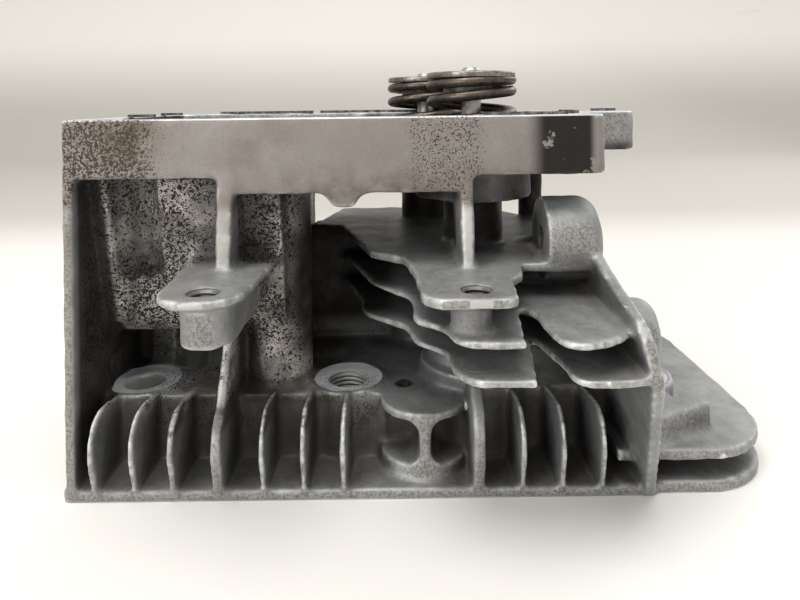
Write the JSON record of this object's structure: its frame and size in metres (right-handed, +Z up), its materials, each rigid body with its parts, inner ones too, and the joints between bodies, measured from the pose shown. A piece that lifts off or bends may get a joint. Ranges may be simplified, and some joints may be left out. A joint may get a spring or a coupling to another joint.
{
  "type": "cylinder head",
  "caption": "Die-cast air-cooled cylinder head with a rocker box, cooling fins, bracket ears and both valves fitted with springs, retainers and keepers.",
  "frame": {"origin": "cylinder bore axis at the gasket face", "axes": "+Z up through the rocker box, -Y towards the side with the two bracket ears, +X towards the exhaust flange"},
  "size_m": [0.1914, 0.1381, 0.1135],
  "materials": {
    "cast_aluminium": "rough die-cast, oily and stained",
    "valve_steel": "ground",
    "spring_steel": "dark, oily",
    "retainer_steel": "worn",
    "sintered_iron": "machined",
    "seal_rubber": "matt",
    "gasket_paper": "torn gasket, dark"
  },
  "bodies": {
    "head": {"casting": "cast_aluminium", "exhaust_seat_insert": "sintered_iron", "intake_seat_insert": "sintered_iron", "exhaust_guide": "sintered_iron", "intake_guide": "sintered_iron", "exhaust_spring_washer": "valve_steel", "intake_spring_washer": "valve_steel", "exhaust_spring": "spring_steel", "intake_spring": "spring_steel", "intake_stem_seal": "seal_rubber", "cover_gasket_remains": "gasket_paper"},
    "exhaust_valve_set": {"exhaust_valve": "valve_steel", "exhaust_retainer": "retainer_steel", "exhaust_keeper_left": "retainer_steel", "exhaust_keeper_right": "retainer_steel"},
    "intake_valve_set": {"intake_valve": "valve_steel", "intake_retainer": "retainer_steel", "intake_keeper_left": "retainer_steel", "intake_keeper_right": "retainer_steel"}
  },
  "joints": [
    {"name": "exhaust_valve_lift", "type": "slide", "parent": "head", "child": "exhaust_valve_set", "axis": [0, 0, -1], "range_m": [0, 0.008], "deforming": ["exhaust_spring"]},
    {"name": "intake_valve_lift", "type": "slide", "parent": "head", "child": "intake_valve_set", "axis": [0, 0, -1], "range_m": [0, 0.008], "deforming": ["intake_spring"]}
  ]
}
